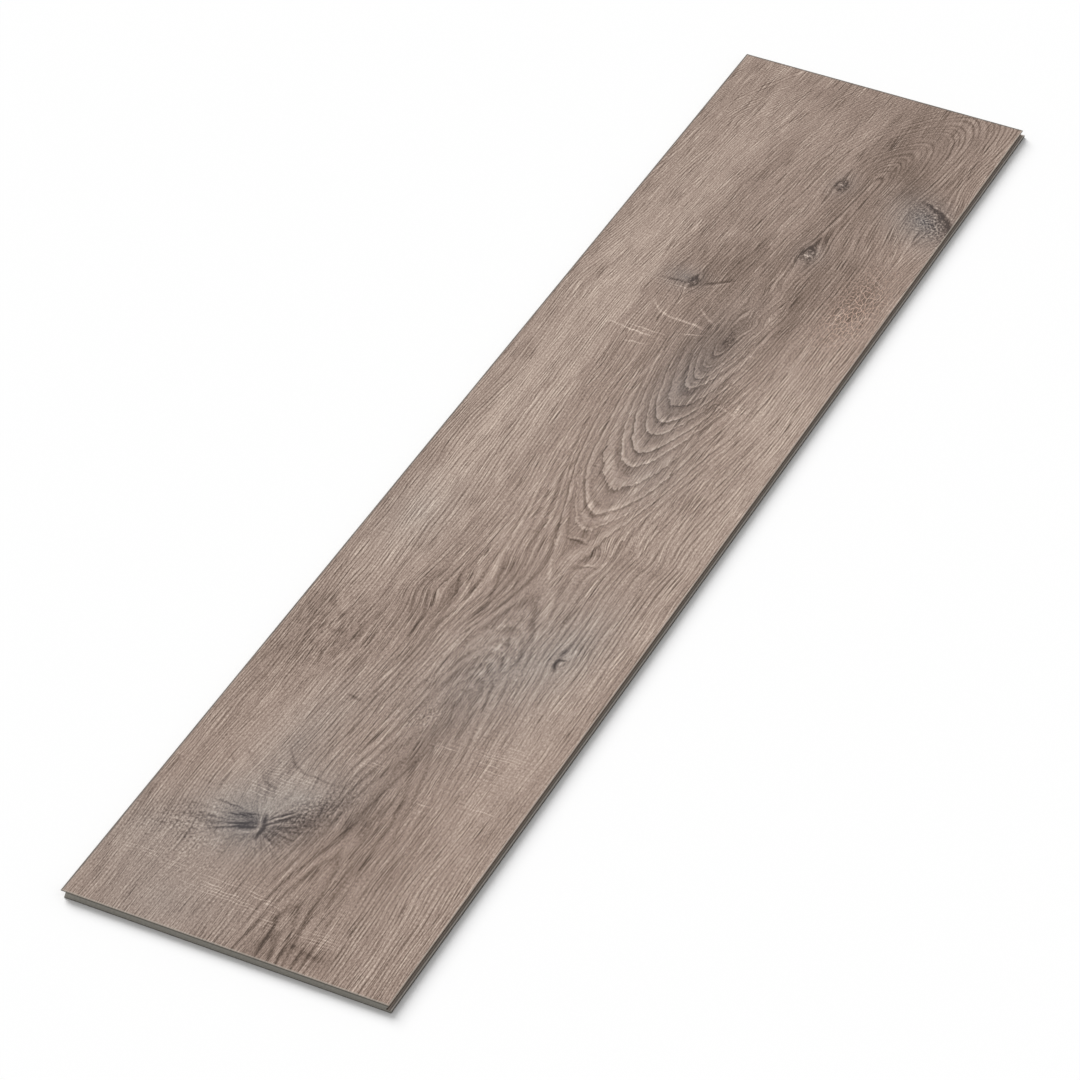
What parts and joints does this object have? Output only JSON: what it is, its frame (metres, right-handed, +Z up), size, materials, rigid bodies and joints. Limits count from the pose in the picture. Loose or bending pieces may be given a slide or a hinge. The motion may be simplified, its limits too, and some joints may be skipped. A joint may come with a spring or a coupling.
{
  "type": "vinyl floor plank",
  "caption": "Flat rectangular floor plank with a wood-grain face, square ends, a tongue along one long edge and a groove with a locking lip along the other.",
  "frame": {"origin": "on the underside, at the centre of the overall box", "axes": "+X along the plank, +Y across it towards the tongue edge, +Z up out of the printed face"},
  "size_m": [0.9144, 0.1998, 0.0052],
  "materials": {
    "vinyl": "matt wood-grain print on the face, plain grey core on the edges and underside"
  },
  "bodies": {
    "root": {"plank": "vinyl"}
  },
  "joints": []
}
